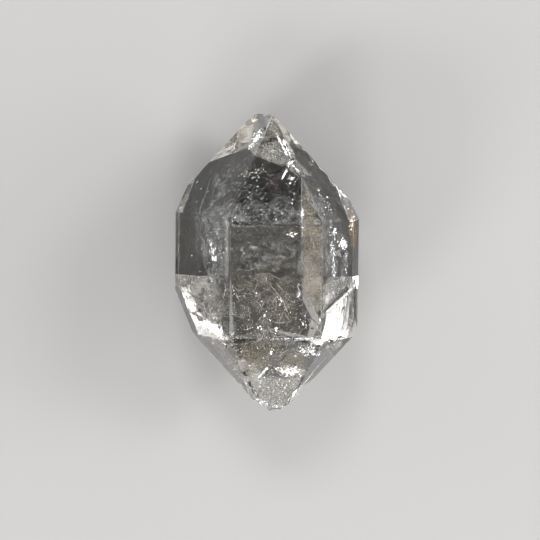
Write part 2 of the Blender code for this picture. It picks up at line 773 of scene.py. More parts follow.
class Finishes:
    """The finishes of the sealed pieces, each made once."""

    recipes = {
        Finish.MILKY: Mist(
            tint=(0.95, 0.95, 0.94, 1.0),
            shade=(0.78, 0.77, 0.75, 1.0),
            cloud=1.1,
            cloud_range=(0.44, 0.68),
            grain=0.10,
            grain_range=(0.36, 0.62),
            densest=0.8,
        ),
        Finish.CREAM: Mist(
            tint=(0.99, 0.95, 0.85, 1.0),
            shade=(0.62, 0.55, 0.43, 1.0),
            cloud=1.2,
            cloud_range=(0.42, 0.66),
            grain=0.14,
            grain_range=(0.40, 0.60),
            densest=0.9,
        ),
        # Painted shade: near-black film laid over clear parts so that they read dark instead of showing the
        # pale floor.
        Finish.PAINTED_SHADE: Mist(
            tint=(0.24, 0.215, 0.185, 1.0),
            shade=(0.04, 0.036, 0.032, 1.0),
            cloud=1.0,
            cloud_range=(0.20, 0.52),
            grain=0.16,
            grain_range=(0.36, 0.64),
            thin=0.7,
            densest=0.96,
        ),
        Finish.TAN: Mist(
            tint=(0.86, 0.81, 0.71, 1.0),
            shade=(0.42, 0.375, 0.30, 1.0),
            cloud=0.9,
            cloud_range=(0.30, 0.64),
            grain=0.18,
            grain_range=(0.38, 0.62),
            densest=0.8,
        ),
        Finish.ROSY: Mist(
            tint=(0.50, 0.42, 0.40, 1.0),
            shade=(0.20, 0.16, 0.155, 1.0),
            cloud=1.0,
            cloud_range=(0.25, 0.60),
            grain=0.14,
            densest=0.6,
        ),
        Finish.DUSTY: Mist(
            tint=(0.99, 0.98, 0.95, 1.0),
            shade=(0.62, 0.60, 0.56, 1.0),
            cloud=0.6,
            cloud_range=(0.20, 0.55),
            grain=0.14,
            grain_range=(0.40, 0.60),
            densest=0.95,
        ),
        Finish.WHITE: Mist(
            tint=(0.98, 0.98, 0.97, 1.0),
            shade=(0.90, 0.90, 0.89, 1.0),
            cloud=0.35,
            cloud_range=(0.25, 0.50),
            grain=0.05,
            grain_range=(0.30, 0.55),
            densest=0.95,
            roughness=0.6,
        ),
        Finish.MIRROR: MirrorFilm(tint=(0.98, 0.98, 1.0, 1.0)),
        Finish.GOLD: MirrorFilm(tint=(1.0, 0.90, 0.70, 1.0), slot=Slot.IRON_STAIN),
        Finish.AIR: AirFilm(),
        Finish.RUST: Mist(
            tint=(0.86, 0.60, 0.22, 1.0),
            shade=(0.50, 0.26, 0.07, 1.0),
            slot=Slot.IRON_STAIN,
            cloud=0.25,
            cloud_range=(0.42, 0.60),
            grain=0.06,
            densest=0.95,
        ),
        Finish.DARK: DarkGrain(),
    }

    def __init__(self) -> None:
        """Make every finish."""
        self.made = {finish: recipe.make(finish.value) for finish, recipe in self.recipes.items()}


@dataclass(frozen=True)
class Sheet:
    """A thin film whose outline the photograph shows.

    Share is how far through the crystal its corners lie, and cover is how much of the film is
    there, each as one number or as one for each corner. Lengths are in mm. The cover rises over
    the width of the fade, from a place rim_start fades inside the rim, so less than 0 leaves the
    rim a little of it. Wave_shift is how far the waves of two films may be shifted, in waves.
    """

    finish: Finish
    outline: tuple
    share: float | tuple
    cover: float | tuple = 1.0
    wave: float = 0.10
    wave_length: float = 1.5
    wave_shift: float = 10.0
    spacing: float = 0.25
    thickness: float = 0.012
    fade: float = 0.3
    rim_start: float = -0.15
    strength: float = 1.0

    def shapes(self, sight: Sight, rng: random.Random) -> list:
        """Model the film as a closed slab that thins out towards its rim.

        Args:
            sight: Finds the places that the photograph shows.
            rng: Draws where the waves start.

        Returns:
            The slab, alone in a list.
        """
        shape = bmesh.new()
        cover = cover_layer(shape)
        corners = []
        shares, covers = self.for_each_corner(self.share), self.for_each_corner(self.cover)
        for pixel, share, covered in zip(self.outline, shares, covers):
            corner = shape.verts.new(sight.inside(pixel, share))
            corner[cover] = covered
            corners.append(corner)
        outline = [shape.edges.new(pair) for pair in zip(corners, corners[1:] + corners[:1])]
        bmesh.ops.contextual_create(shape, geom=outline)
        refine(shape, self.spacing)
        shape.normal_update()
        rim = [corner.co.copy() for corner in shape.verts if corner.is_boundary]
        offset = Vector((rng.random(), rng.random(), rng.random())) * self.wave_shift
        fade = self.fade * MM
        for corner in shape.verts:
            distance = min((corner.co - place).length for place in rim)
            corner[cover] *= self.strength * smooth_step(self.rim_start * fade, fade, distance)
        for corner in shape.verts:
            lift = noise.noise(corner.co / (self.wave_length * MM) + offset) * self.wave * MM
            corner.co += corner.normal * lift
        bmesh.ops.solidify(shape, geom=shape.faces[:], thickness=self.thickness * MM)
        bmesh.ops.recalc_face_normals(shape, faces=shape.faces[:])
        for face in shape.faces:
            face.smooth = True
        return [shape]

    def for_each_corner(self, value: float | tuple) -> tuple:
        """Give a value for each corner, also where there is one for them all."""
        return value if isinstance(value, tuple) else (value,) * len(self.outline)


def thread(path: list, girths: list, covers: list) -> Shape:
    """Model a thin three-sided bar along a path, closed at both ends.

    Args:
        path: The places that the bar passes through.
        girths: Its half thickness at each place, in mm.
        covers: Its cover at each place.

    Returns:
        The bar.
    """
    shape = bmesh.new()
    cover = cover_layer(shape)
    heading = (path[1] - path[0]).to_track_quat("Z", "Y").to_matrix().to_4x4()
    start = Matrix.Translation(path[0]) @ heading
    bmesh.ops.create_circle(shape, cap_ends=True, segments=3, radius=girths[0] * MM, matrix=start)
    for corner in shape.verts:
        corner[cover] = covers[0]
    face = shape.faces[:][0]
    for place, before, girth, strength in zip(path[1:], path, girths[1:], covers[1:]):
        face = bmesh.ops.extrude_discrete_faces(shape, faces=[face])["faces"][0]
        for corner in face.verts:
            corner.co = place + (corner.co - before).normalized() * girth * MM
            corner[cover] = strength
    bmesh.ops.recalc_face_normals(shape, faces=shape.faces[:])
    return shape


@dataclass(frozen=True)
class Streak:
    """A fine line that the photograph shows, through several pixels at one share.

    Its girth is half its thickness, in mm. Steps is how many stretches it has between two of its
    pixels, and shake is how far each stretch strays, in girths. End_girth is the girth that is
    left at its ends, as a share.
    """

    points: tuple
    share: float
    finish: Finish = Finish.WHITE
    girth: float = 0.04
    strength: float = 1.0
    steps: int = 6
    shake: float = 0.8
    end_girth: float = 0.25
    girth_range: tuple = (0.6, 1.2)
    cover_range: tuple = (0.6, 1.0)

    def shapes(self, sight: Sight, rng: random.Random) -> list:
        """Model the line as a slightly uneven bar that is thinner at its ends.

        Args:
            sight: Finds the places that the photograph shows.
            rng: Draws how uneven it is.

        Returns:
            The bar, alone in a list.
        """
        path = []
        for start, end in zip(self.points, self.points[1:]):
            for step in range(self.steps):
                along = step / self.steps
                pixel = (start[0] + (end[0] - start[0]) * along, start[1] + (end[1] - start[1]) * along)
                path.append(sight.inside(pixel, self.share))
        path.append(sight.inside(self.points[-1], self.share))
        last = len(path) - 1
        shake = self.girth * self.shake * MM
        path = [place + Vector(rng.uniform(-shake, shake) for _ in range(3)) for place in path]
        girths = []
        for step in range(last + 1):
            roundness = self.end_girth + math.sqrt(math.sin(math.pi * step / last))
            girths.append(self.girth * roundness * rng.uniform(*self.girth_range))
        covers = [self.strength * rng.uniform(*self.cover_range) for _ in path]
        return [thread(path, girths, covers)]


@dataclass(frozen=True)
class Swarm:
    """Many small shapes around a pixel, gathered into clumps.

    Spread is in pixels across and along, and scatter is the share of it that most shapes lie
    within. Depth is the least and most share of the way through the crystal, size the least and
    most size in mm, and smallness makes small ones the more common. Turn is in degrees
    clockwise. Clump is the least noise, from -1 to 1, that lets a shape in.
    """

    centre: Pixel
    spread: Pixel
    depth: tuple
    count: int
    size: tuple
    finish: Finish = Finish.MIRROR
    turn: float = 0.0
    clump: float = -1.0
    clump_size: float = 0.9
    scatter: float = 0.5
    smallness: int = 2

    def places(self, sight: Sight, rng: random.Random) -> list:
        """Draw the places and sizes of the shapes, leaving out what would stick out.

        Args:
            sight: Finds the places that the photograph shows.
            rng: Draws the places and sizes.

        Returns:
            A place and a size in mm for each shape.
        """
        drawn = []
        turn = math.radians(self.turn)
        smallest, largest = self.size
        for _ in range(self.count):
            across = rng.gauss(0.0, self.scatter) * self.spread[0]
            along = rng.gauss(0.0, self.scatter) * self.spread[1]
            x = self.centre[0] + across * math.cos(turn) - along * math.sin(turn)
            y = self.centre[1] + across * math.sin(turn) + along * math.cos(turn)
            place = sight.inside((x, y), rng.uniform(*self.depth))
            size = smallest * (largest / smallest) ** (rng.random() ** self.smallness)
            let_in = noise.noise(place / (self.clump_size * MM)) >= self.clump
            if let_in and sight.holds(place, size):
                drawn.append((place, size))
        return drawn

    def shapes(self, sight: Sight, rng: random.Random) -> list:
        """Model the shapes.

        Args:
            sight: Finds the places that the photograph shows.
            rng: Draws the places, sizes and forms.

        Returns:
            The shapes, without those that turn out to stick out of the crystal.
        """
        drawn = [self.shape(place, size, sight, rng) for place, size in self.places(sight, rng)]
        return [shape for shape in drawn if shape is not None]

    def shape(self, place: Vector, size: float, sight: Sight, rng: random.Random) -> Shape | None:
        """Model one shape, each kind of swarm in its own way."""
        raise NotImplementedError


@dataclass(frozen=True)
class Plates(Swarm):
    """Flat hollows at all angles, each a thin six-sided plate.

    Flatness is its thickness and taper the size of its smaller side, in sizes. Narrowness is
    the least and most width in lengths, and tip, in radians, is how far most are tipped over.
    """

    flatness: float = 0.15
    taper: float = 0.8
    narrowness: tuple = (0.4, 1.0)
    tip: float = 0.7

    def turned(self, place: Vector, sight: Sight, rng: random.Random) -> Matrix:
        """Draw the way that a plate is turned, and give it with its place."""
        turned = Matrix.Rotation(rng.uniform(0.0, math.tau), 4, "Z")
        return Matrix.Translation(place) @ turned @ Matrix.Rotation(rng.gauss(0.0, self.tip), 4, "X")

    def shape(self, place: Vector, size: float, sight: Sight, rng: random.Random) -> Shape:
        """Model one plate.

        Args:
            place: The plate's place.
            size: Its radius, in mm.
            sight: Finds the way that it has to face, where it mirrors a lamp.
            rng: Draws its turn and width.

        Returns:
            The plate.
        """
        shape = bmesh.new()
        cover_layer(shape)
        turned = self.turned(place, sight, rng)
        narrowed = Matrix.Diagonal((1.0, rng.uniform(*self.narrowness), 1.0, 1.0))
        bmesh.ops.create_cone(
            shape,
            cap_ends=True,
            segments=6,
            radius1=size * MM,
            radius2=size * self.taper * MM,
            depth=size * self.flatness * MM,
            matrix=turned @ narrowed,
        )
        return shape


@dataclass(frozen=True)
class Glints(Plates):
    """Flat hollows that mirror a lamp into the photograph's camera, nearly all of them.

    Stray is how far most of them miss the lamp, in radians or so.
    """

    flatness: float = 0.12
    taper: float = 0.85
    narrowness: tuple = (0.35, 1.0)
    stray: float = 0.03

    def turned(self, place: Vector, sight: Sight, rng: random.Random) -> Matrix:
        """Draw the way that a hollow is turned.

        Args:
            place: The hollow's place.
            sight: Finds the way that mirrors a lamp.
            rng: Draws how far it strays from that way.

        Returns:
            The hollow's place and turn.
        """
        facing = sight.glint(place)
        facing += Vector(rng.gauss(0.0, self.stray) for _ in range(3))
        aimed = facing.to_track_quat("Z", "Y").to_matrix().to_4x4()
        turned = Matrix.Rotation(rng.uniform(0.0, math.tau), 4, "Z")
        return Matrix.Translation(place) @ aimed @ turned


@dataclass(frozen=True)
class Grains(Swarm):
    """Small uneven hollows or grains, each a squashed ball of twenty faces.

    Squash is the least and most width in lengths, and uneven is the most that a corner moves
    in or out, as a share of its distance from the middle.
    """

    squash: tuple = (0.45, 1.0)
    uneven: float = 0.25

    def shape(self, place: Vector, size: float, sight: Sight, rng: random.Random) -> Shape:
        """Model one grain.

        Args:
            place: The grain's place.
            size: Its radius, in mm.
            sight: Not needed for a grain.
            rng: Draws its turn and form.

        Returns:
            The grain.
        """
        shape = bmesh.new()
        cover = cover_layer(shape)
        angle = rng.uniform(0.0, math.tau)
        turned = Matrix.Rotation(angle, 4, Vector((1.0, rng.random(), rng.random())))
        squashed = Matrix.Diagonal((1.0, rng.uniform(*self.squash), rng.uniform(*self.squash), 1.0))
        placed = Matrix.Translation(place) @ turned @ squashed
        bmesh.ops.create_icosphere(shape, subdivisions=1, radius=size * MM, matrix=placed)
        for corner in shape.verts:
            corner.co += (corner.co - place) * rng.uniform(-self.uneven, self.uneven)
            corner[cover] = 1.0
        return shape


@dataclass(frozen=True)
class Wisps(Swarm):
    """Fine curling threads, the edges of healed cracks. Size is their length.

    Angles are in radians: stray is how far most of them start from the way that the swarm is
    turned, bow their even bend at each step and wobble their uneven one. Rise is how steep most
    of them are. They keep a margin, in mm, to the crystal's faces. End is the share of cover and
    girth that is left at their ends.
    """

    finish: Finish = Finish.WHITE
    girth: float = 0.016
    steps: int = 8
    stray: float = 0.45
    rise: float = 0.3
    bow: float = 0.09
    wobble: float = 0.12
    margin: float = 0.1
    girth_range: tuple = (0.5, 1.4)
    cover_range: tuple = (0.3, 1.0)
    end: float = 0.3

    def shape(self, place: Vector, size: float, sight: Sight, rng: random.Random) -> Shape | None:
        """Model one thread.

        Args:
            place: Where the thread starts.
            size: Its length, in mm.
            sight: Says whether the thread lies inside the crystal.
            rng: Draws its course, girth and cover.

        Returns:
            The thread, or nothing where it would stick out.
        """
        heading = math.radians(-self.turn) + rng.gauss(0.0, self.stray)
        rise = rng.gauss(0.0, self.rise)
        bow = rng.gauss(0.0, self.bow)
        path = [place]
        for _ in range(self.steps):
            heading += bow + rng.gauss(0.0, self.wobble)
            stride = Vector((math.cos(heading), math.sin(heading), rise)) * (size / self.steps) * MM
            path.append(path[-1] + stride)
        if not all(sight.holds(spot, self.margin) for spot in path):
            return None
        girth = self.girth * rng.uniform(*self.girth_range)
        strength = rng.uniform(*self.cover_range)
        rounds = [math.sin(math.pi * step / self.steps) for step in range(self.steps + 1)]
        girths = [girth * (self.end + part) for part in rounds]
        covers = [strength * (self.end + (1.0 - self.end) * part) for part in rounds]
        return thread(path, girths, covers)


@dataclass
class Region:
    """A part of the crystal, with everything that is sealed in it, by name."""

    name: str
    seed: int
    items: dict

    def build(self, sight: Sight, finishes: Finishes) -> None:
        """Make one piece for each finish that the region has.

        Args:
            sight: Finds the places that the photograph shows.
            finishes: The finishes of the sealed pieces.
        """
        rng = random.Random(self.seed)
        gathered = {}
        for item in self.items.values():
            gathered.setdefault(item.finish, []).extend(item.shapes(sight, rng))
        for finish, shapes in gathered.items():
            if shapes:
                name = f"{self.name}_{finish.value}"
                add_piece(name, join_shapes(shapes), finishes.made[finish])


@dataclass(frozen=True)
class Softbox:
    """A soft rectangular light, named by where it stands seen from the crystal.

    Azimuth and elevation are in degrees, size and distance in mm.
    """

    name: str
    azimuth: float
    elevation: float
    size: tuple
    brightness: float
    colour: tuple = (1.0, 1.0, 1.0)
    distance: float = 600.0

    def build(self) -> None:
        """Make the light, facing the crystal."""
        away = direction(self.azimuth, self.elevation)
        lamp = bpy.data.lights.new(self.name, "AREA")
        lamp.shape = "RECTANGLE"
        lamp.size = self.size[0] * MM
        lamp.size_y = self.size[1] * MM
        lamp.energy = self.brightness * math.pi * lamp.size * lamp.size_y
        lamp.color = self.colour
        light = bpy.data.objects.new(self.name, lamp)
        facing = away.to_track_quat("Z", "Y").to_matrix().to_4x4()
        light.matrix_world = Matrix.Translation(AXIS_CENTRE + away * self.distance * MM) @ facing
        light.visible_camera = False
        bpy.context.scene.collection.objects.link(light)


@dataclass
class Studio:
    """A plain pale floor under soft studio light, with the small lamps that the flecks mirror."""

    floor_radius: float = 1700.0
    floor_sides: int = 96
    floor_colour: Colour = (0.56, 0.556, 0.548, 1.0)
    surround: Colour = (0.20, 0.20, 0.205, 1.0)
    # Each of them is given by its name, azimuth, elevation, size and brightness.
    softboxes: tuple = (
        Softbox("left_window", 107, 9.5, (170, 110), 2.2),
        Softbox("right_window", 74, 9.5, (130, 110), 2.2),
        Softbox("overhead", 270, 71, (700, 340), 0.62, colour=(1.0, 0.96, 0.86)),
        Softbox("right_high", 37, 56, (300, 300), 0.34, colour=(1.0, 0.91, 0.75)),
        Softbox("right_low", 0, 15, (400, 260), 5.4),
        Softbox("far_right_card", 40, 24, (260, 200), 1.0),
        Softbox("far_left_card", 152, 24, (300, 260), 1.0),
        Softbox("near_left_card", 232, 24, (380, 260), 1.0),
        Softbox("near_right_card", 318, 24, (420, 260), 1.0),
        *(
            Softbox(name, *spot, size=(160, 160), brightness=10.0, distance=560)
            for name, spot in LAMPS.items()
        ),
    )

    def build(self) -> None:
        """Make the floor, the surround and the lights."""
        shape = bmesh.new()
        bmesh.ops.create_circle(
            shape, cap_ends=True, segments=self.floor_sides, radius=self.floor_radius * MM
        )
        mesh = bpy.data.meshes.new("studio_floor")
        shape.to_mesh(mesh)
        shape.free()
        floor = bpy.data.objects.new("studio_floor", mesh)
        bpy.context.scene.collection.objects.link(floor)
        paint = Paint("pale_floor")
        paint.set(Base_Color=self.floor_colour, Roughness=0.9, Specular_IOR_Level=0.1)
        mesh.materials.append(paint.material)
        world = bpy.data.worlds.new("studio_surround")
        world.use_nodes = True
        world.node_tree.nodes["Background"].inputs["Color"].default_value = self.surround
        bpy.context.scene.world = world
        for softbox in self.softboxes:
            softbox.build()
        scene = bpy.context.scene
        scene.view_settings.view_transform = "Standard"
        scene.cycles.caustics_refractive = False
        scene.cycles.caustics_reflective = False
        scene.cycles.max_bounces = 20
        scene.cycles.transmission_bounces = 20
        scene.cycles.glossy_bounces = 12


# What is sealed in each region. A sheet is given by its finish and outline, a streak by its
# points and share, and a swarm by its centre, spread, depth, count and size.
FAR_POINT = {
    "dusty crack": Sheet(
        Finish.DUSTY, ((249, 149), (253.5, 156), (268, 161), (283.5, 167), (292, 162), (288, 150),
        (276, 140), (262, 143)), share=(0.1, 0.12, 0.15, 0.18, 0.18, 0.18, 0.16, 0.12),
        cover=(1.0, 1.0, 1.0, 1.0, 1.0, 0.6, 0.3, 0.5), wave=0.03, fade=0.1, strength=0.85,
    ),
    "crack past the star": Sheet(
        Finish.DUSTY, ((292, 162), (301, 164), (314, 174), (312, 177), (300, 176), (287, 168)),
        share=(0.18, 0.15, 0.12, 0.12, 0.15, 0.18), wave=0.05, fade=0.2, strength=0.7,
    ),
    "film in the left face": Sheet(
        Finish.CREAM, ((212, 161), (230, 147), (246, 128), (258, 116), (263, 116), (254, 140), (249, 147),
        (230, 154)), share=(0.1, 0.12, 0.12, 0.12, 0.12, 0.1, 0.1, 0.1), wave=0.04, fade=0.15, strength=0.2,
    ),
    "lower border of the crack": Streak(((253, 155), (268, 160.5), (284, 167)), 0.14, girth=0.035),
    "left border of the crack": Streak(((249.7, 149), (254, 156)), 0.1, girth=0.03, strength=0.6),
    "left of the double streak": Glints((283, 147), (0.8, 15), (0.08, 0.16), 50, (0.05, 0.14), turn=-26),
    "right of the double streak": Glints((286.5, 147), (0.8, 12), (0.08, 0.16), 34, (0.05, 0.12), turn=-26),
    "short streak under the star": Glints((285.2, 173), (0.5, 5), (0.04, 0.08), 44, (0.06, 0.13), turn=29),
    "line beside the star": Streak(((287, 168.5), (294, 173), (301, 178)), 0.14, girth=0.045),
    "line along the right face": Streak(
        ((290, 161), (302, 166), (314, 174)), 0.12, girth=0.03, strength=0.6
    ),
    "first line of the ridge": Streak(((252, 147), (257, 140), (262, 133)), 0.08, girth=0.06, strength=0.8),
    "second line of the ridge": Streak(
        ((256, 146), (261, 138), (264.5, 131)), 0.08, girth=0.05, strength=0.7
    ),
    "glitter around the star": Glints((290, 164), (4.5, 4), (0.08, 0.2), 34, (0.04, 0.12), stray=0.1),
    "glitter in the tip": Glints((272, 146), (26, 18), (0.05, 0.3), 40, (0.03, 0.07), stray=0.07),
    "bright ridge patch": Glints((256, 139), (3, 10), (0.02, 0.07), 120, (0.06, 0.13), turn=32, stray=0.04),
    "star": Glints((290.4, 163), (2.4, 1.2), (0.02, 0.05), 34, (0.07, 0.14), turn=-30),
    # Painted shade: a dark film that darkens the clear quartz along the right shoulder.
    "shade along the right shoulder": Sheet(
        Finish.PAINTED_SHADE, ((298, 149), (309, 161), (331, 186), (346, 204), (342, 208), (322, 188), (304, 168),
        (294, 158)), share=0.06, wave=0.03, fade=0.15, strength=0.5,
    ),
    "rosy patch": Sheet(
        Finish.ROSY, ((285, 167), (284, 178), (280, 192), (262, 188), (271, 174)), share=0.12, wave=0.05,
        fade=0.6, strength=0.8,
    ),
    "milky end of the tip": Sheet(
        Finish.DUSTY, ((263, 114.5), (273, 117), (286, 131), (280, 139), (266, 129)), share=0.08,
        wave=0.03, fade=0.5, strength=0.45,
    ),
    "glitter past the star": Glints((296, 169), (0.7, 5), (0.02, 0.06), 24, (0.05, 0.1), turn=-52),
    "highlight at the tip": Glints(
        (255, 119.5), (2, 5.5), (0.03, 0.08), 44, (0.06, 0.12), finish=Finish.GOLD, turn=40, stray=0.05
    ),
    "specks by the right face": Grains(
        (289, 148), (9, 8), (0.1, 0.3), 20, (0.04, 0.09), finish=Finish.DARK
    ),
    "mark in the left face": Grains(
        (238, 139.5), (2, 1.2), (0.08, 0.14), 5, (0.07, 0.12), finish=Finish.DARK
    ),
    "glitter at the right border": Glints((308, 161), (7, 5), (0.05, 0.25), 20, (0.03, 0.08), stray=0.07),
    "gold at the right border": Glints(
        (313, 163), (4, 4), (0.03, 0.15), 10, (0.05, 0.11), finish=Finish.GOLD, stray=0.05
    ),
    "threads in the left face": Wisps((232, 148), (22, 14), (0.05, 0.3), 40, (0.3, 1.2), turn=-55),
    "threads under the star": Wisps((300, 178), (14, 14), (0.05, 0.3), 36, (0.3, 1.0), turn=30),
    "bluish glitter": Glints((291, 179), (5, 4), (0.1, 0.3), 30, (0.05, 0.13), stray=0.1),
}

UPPER_PART = {
    "haze that ends at the near edge": Sheet(
        Finish.MILKY, ((206, 208), (226, 194), (256, 190), (300, 190), (326, 200), (326, 225.5),
        (262, 225.5), (212, 225.5)), share=(0.1, 0.12, 0.12, 0.12, 0.1, 0.06, 0.06, 0.06),
        cover=(0.0, 0.0, 0.0, 0.0, 0.2, 1.0, 1.0, 0.7), wave=0.05, fade=0.08,
    ),
    "haze on the left": Sheet(
        Finish.MILKY, ((212, 168), (244, 160), (238, 196), (206, 214)), share=(0.2, 0.3, 0.35, 0.25),
        cover=(0.3, 0.3, 1.0, 1.0), wave=0.15, fade=1.0, strength=0.6,
    ),
    "tan wedge": Sheet(
        Finish.TAN, ((302.5, 184), (305, 184), (319, 212), (321, 226), (302.5, 226)), share=0.06,
        wave=0.02, fade=0.1, strength=0.8,
    ),
    "threads at the near edge": Wisps(
        (258, 214), (76, 12), (0.1, 0.55), 220, (0.2, 1.0), turn=-15, clump=-0.25
    ),
    "threads on the left": Wisps((232, 186), (34, 36), (0.1, 0.5), 110, (0.3, 1.3), turn=-60, clump=-0.3),
    "threads on the right": Wisps((316, 192), (26, 26), (0.05, 0.4), 90, (0.2, 0.9), turn=40, clump=-0.3),
    "line beside the wedge": Streak(((302, 181), (310, 196), (320, 212)), 0.05, girth=0.035, strength=0.7),
    "glitter at the near edge": Glints((258, 215), (74, 12), (0.1, 0.5), 150, (0.025, 0.1), stray=0.06),
    "glitter": Glints((262, 190), (80, 40), (0.05, 0.5), 130, (0.02, 0.08), stray=0.06),
    "dust at the near edge": Grains((258, 214), (74, 14), (0.1, 0.6), 500, (0.02, 0.07), clump=-0.1),
    "dust": Grains((262, 190), (80, 44), (0.05, 0.6), 300, (0.02, 0.06), clump=0.0),
    "glitter at the wedge's foot": Glints((302, 214), (7, 7), (0.1, 0.4), 26, (0.06, 0.14), stray=0.1),
    "gold under the crack": Glints(
        (257, 171), (12, 3), (0.05, 0.2), 20, (0.04, 0.08), finish=Finish.GOLD, turn=-8, stray=0.07
    ),
    "glitter under the crack": Glints((252, 175), (14, 5), (0.1, 0.3), 22, (0.03, 0.09), stray=0.1),
    "bright streak on the right": Glints(
        (326, 203), (4, 14), (0.05, 0.3), 36, (0.05, 0.13), turn=-32, stray=0.1
    ),
    "gold fleck on the right": Glints(
        (318, 190), (2.4, 2.4), (0.05, 0.2), 10, (0.05, 0.11), finish=Finish.GOLD
    ),
    "hollows": Grains((262, 190), (80, 50), (0.1, 0.7), 160, (0.04, 0.12), finish=Finish.AIR),
}

MIDDLE = {
    "haze": Sheet(
        Finish.MILKY, ((234, 238), (268, 236), (301, 234), (300, 262), (266, 272), (234, 262)),
        share=(0.35, 0.35, 0.35, 0.5, 0.5, 0.4), cover=(0.0, 0.2, 0.4, 1.0, 1.0, 0.6), wave=0.12, fade=0.8,
        strength=0.75,
    ),
    "cream film": Sheet(
        Finish.CREAM, ((233, 264), (270, 258), (301, 262), (301, 318), (262, 336), (233, 326)),
        share=(0.15, 0.15, 0.15, 0.15, 0.12, 0.12), wave=0.12, fade=0.6, strength=0.25,
    ),
    # Painted shade: a dark film that darkens the clear near half of the middle.
    "painted shade over the near half": Sheet(
        Finish.PAINTED_SHADE, ((231, 276), (303, 276), (303, 300), (312, 318), (308, 337), (270, 339), (233, 338)),
        share=(0.35, 0.35, 0.35, 0.3, 0.25, 0.25, 0.25), wave=0.12, fade=0.15,
    ),
    # Painted shade: a dark film that darkens the clear quartz past the near edge.
    "painted shade past the edge": Sheet(
        Finish.PAINTED_SHADE, ((231, 338), (262, 339), (300, 339), (278, 352), (250, 362)), share=0.3, wave=0.12,
        strength=0.5,
    ),
    # Painted shade: a dark film that darkens the clear far and left borders of the middle.
    "painted shade at the far and left borders": Sheet(
        Finish.PAINTED_SHADE, ((230.5, 226.5), (302, 226.5), (302, 238), (302, 248), (264, 242), (246, 262),
        (252, 285), (230.5, 285)), share=0.05, cover=(1.0, 1.0, 0.6, 0.0, 0.0, 0.0, 0.6, 0.7), wave=0.02,
        fade=0.04, strength=0.9,
    ),
    "tan box": Sheet(
        Finish.TAN, ((254, 273), (273, 272), (272, 285), (256, 286)), share=0.08, wave=0.02, fade=0.2,
        strength=0.6,
    ),
    "wavy line": Streak(((232, 271), (240, 269.3), (248, 270.5), (256, 268.5)), 0.1),
    "straight line": Streak(((231, 260.5), (244, 260), (254, 260.5)), 0.1, girth=0.02, strength=0.5),
    "faint line": Streak(((232, 275.5), (244, 275), (258, 276)), 0.1, girth=0.016, strength=0.4),
    "threads in the haze": Wisps((270, 252), (34, 26), (0.1, 0.5), 150, (0.2, 0.9), turn=-30, clump=-0.2),
    "slanting threads": Wisps((264, 304), (44, 38), (0.05, 0.3), 190, (0.3, 1.8), turn=55, girth=0.03),
    "crossing threads": Wisps((264, 304), (44, 38), (0.05, 0.3), 100, (0.2, 1.0), turn=-60, girth=0.024),
    "dark threads": Wisps(
        (264, 302), (46, 36), (0.1, 0.3), 60, (0.3, 1.5), finish=Finish.DARK, turn=60, girth=0.03
    ),
    "long bright thread": Streak(((270, 285), (276, 292), (283, 301), (287, 312)), 0.1, girth=0.05),
    "short bright thread": Streak(((272, 305), (274, 300), (277, 296)), 0.1),
    "bright streaks": Glints((281, 299.5), (0.8, 4), (0.1, 0.2), 16, (0.07, 0.14), turn=-28),
    "fleck on the left": Glints((260, 328), (3, 2), (0.05, 0.2), 5, (0.07, 0.13)),
    "fleck on the right": Glints((275.5, 329), (1.6, 2), (0.05, 0.2), 5, (0.08, 0.15)),
    "fleck above them": Glints((264.5, 315), (2, 2), (0.05, 0.2), 4, (0.07, 0.13)),
    "glitter by the strip's foot": Glints((302, 324), (5, 6), (0.05, 0.2), 14, (0.04, 0.11)),
    "dark grains": Grains((262, 306), (46, 34), (0.1, 0.4), 160, (0.04, 0.11), finish=Finish.DARK),
    "glitter in the haze": Glints((266, 252), (54, 36), (0.1, 0.6), 120, (0.02, 0.08), stray=0.06),
    "glitter in the near half": Glints((262, 305), (54, 50), (0.05, 0.4), 130, (0.03, 0.09), stray=0.06),
    "dust in the haze": Grains((270, 252), (46, 36), (0.1, 0.7), 400, (0.02, 0.06), clump=-0.05),
    "dust in the near half": Grains((262, 312), (56, 40), (0.1, 0.6), 200, (0.02, 0.06), clump=0.0),
    "white of the golden fleck": Glints((289, 233), (7, 2.5), (0.02, 0.06), 16, (0.05, 0.11), stray=0.04),
    "gold of the golden fleck": Glints(
        (291, 234), (5, 2), (0.02, 0.06), 14, (0.05, 0.11), finish=Finish.GOLD
    ),
    "small star": Glints((253.6, 247.3), (3, 2), (0.2, 0.3), 12, (0.04, 0.11), stray=0.04),
    "bluish patch": Glints((298.5, 293), (1.8, 8), (0.1, 0.2), 44, (0.06, 0.13), stray=0.1),
    "scattered glitter": Glints((280, 300), (10, 12), (0.2, 0.4), 12, (0.05, 0.12), turn=-50),
    "hollows": Grains((262, 280), (70, 90), (0.1, 0.7), 260, (0.05, 0.14), finish=Finish.AIR),
    "deep dark grains": Grains((262, 290), (60, 50), (0.3, 0.7), 30, (0.03, 0.07), finish=Finish.DARK),
}

